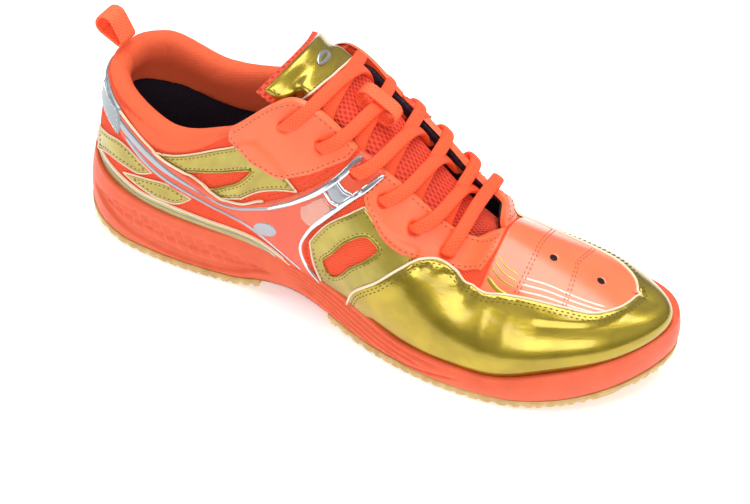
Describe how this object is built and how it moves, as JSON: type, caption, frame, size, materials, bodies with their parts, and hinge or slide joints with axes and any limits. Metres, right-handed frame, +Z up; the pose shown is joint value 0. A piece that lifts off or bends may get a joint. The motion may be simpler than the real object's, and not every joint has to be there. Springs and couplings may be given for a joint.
{
  "type": "court shoe",
  "caption": "Low-cut court shoe for the right foot: mesh upper with glossy sewn-on bands, padded collar and tongue, foam midsole, rubber treads and laced throat.",
  "frame": {"origin": "on the ground, under the middle of the sole's length and width", "axes": "+X towards the toe, +Y towards the inner (medial) side, +Z up"},
  "size_m": [0.2921, 0.1013, 0.1224],
  "materials": {
    "midsole_foam": "matte moulded EVA foam",
    "gum_rubber": "satin natural rubber",
    "shank_plate": "matte moulded nylon",
    "lasting_board": "non-woven polyester",
    "sockliner_cloth": "brushed knit over foam",
    "open_mesh": "open polyester mesh",
    "lining_cloth": "brushed knit",
    "stiffener_sheet": "thermoplastic felt",
    "collar_knit": "plush knit over foam",
    "gold_film": "patent synthetic leather, metallic",
    "coral_film": "smooth synthetic leather",
    "silver_film": "metallic synthetic leather",
    "rand_film": "metallic synthetic leather, satin",
    "tongue_cloth": "padded mesh",
    "loop_tape": "woven tape",
    "lace_braid": "braided polyester",
    "aglet_film": "clear acetate film"
  },
  "bodies": {
    "shoe": {"outsole_heel": "gum_rubber", "outsole_forefoot": "gum_rubber", "midsole": "midsole_foam", "arch_shank": "shank_plate", "strobel_board": "lasting_board", "quarter_mesh_lateral": "open_mesh", "quarter_mesh_medial": "open_mesh", "lining_lateral": "lining_cloth", "lining_medial": "lining_cloth", "vamp_mesh": "open_mesh", "vamp_lining": "lining_cloth", "toe_puff": "stiffener_sheet", "heel_counter": "stiffener_sheet", "collar_padding": "collar_knit", "collar_lining": "lining_cloth", "toe_cap": "gold_film", "vamp_panel": "coral_film", "heel_rand": "rand_film", "heel_tape": "silver_film", "tongue_lower": "tongue_cloth", "lace_keeper": "loop_tape", "lace": "lace_braid", "aglets": "aglet_film", "rear_band_lateral": "gold_film", "low_band_lateral": "gold_film", "side_panel_lateral": "gold_film", "eyestay_upper_lateral": "coral_film", "eyestay_lower_lateral": "coral_film", "support_wing_lateral": "coral_film", "rear_band_medial": "gold_film", "low_band_medial": "gold_film", "side_panel_medial": "gold_film", "eyestay_upper_medial": "coral_film", "eyestay_lower_medial": "coral_film", "support_wing_medial": "coral_film"},
    "tongue_tip": {"tongue_tip": "tongue_cloth", "tongue_patch": "gold_film"},
    "pull_loop": {"pull_loop": "loop_tape"},
    "sockliner": {"sockliner": "sockliner_cloth"}
  },
  "joints": [
    {"name": "tongue_fold", "type": "hinge", "parent": "shoe", "child": "tongue_tip", "pos_m": [-0.028, 0, 0.106], "axis": [0, 1, 0], "range_deg": [-6, 25], "stiffness_Nm_per_rad": 0.05},
    {"name": "loop_swing", "type": "hinge", "parent": "shoe", "child": "pull_loop", "pos_m": [-0.1317, 0, 0.093], "axis": [0, 1, 0], "range_deg": [-10, 40], "stiffness_Nm_per_rad": 0.01},
    {"name": "sockliner_lift", "type": "hinge", "parent": "shoe", "child": "sockliner", "pos_m": [0.134, 0, 0.023], "axis": [0, 1, 0], "range_deg": [0, 4]}
  ]
}
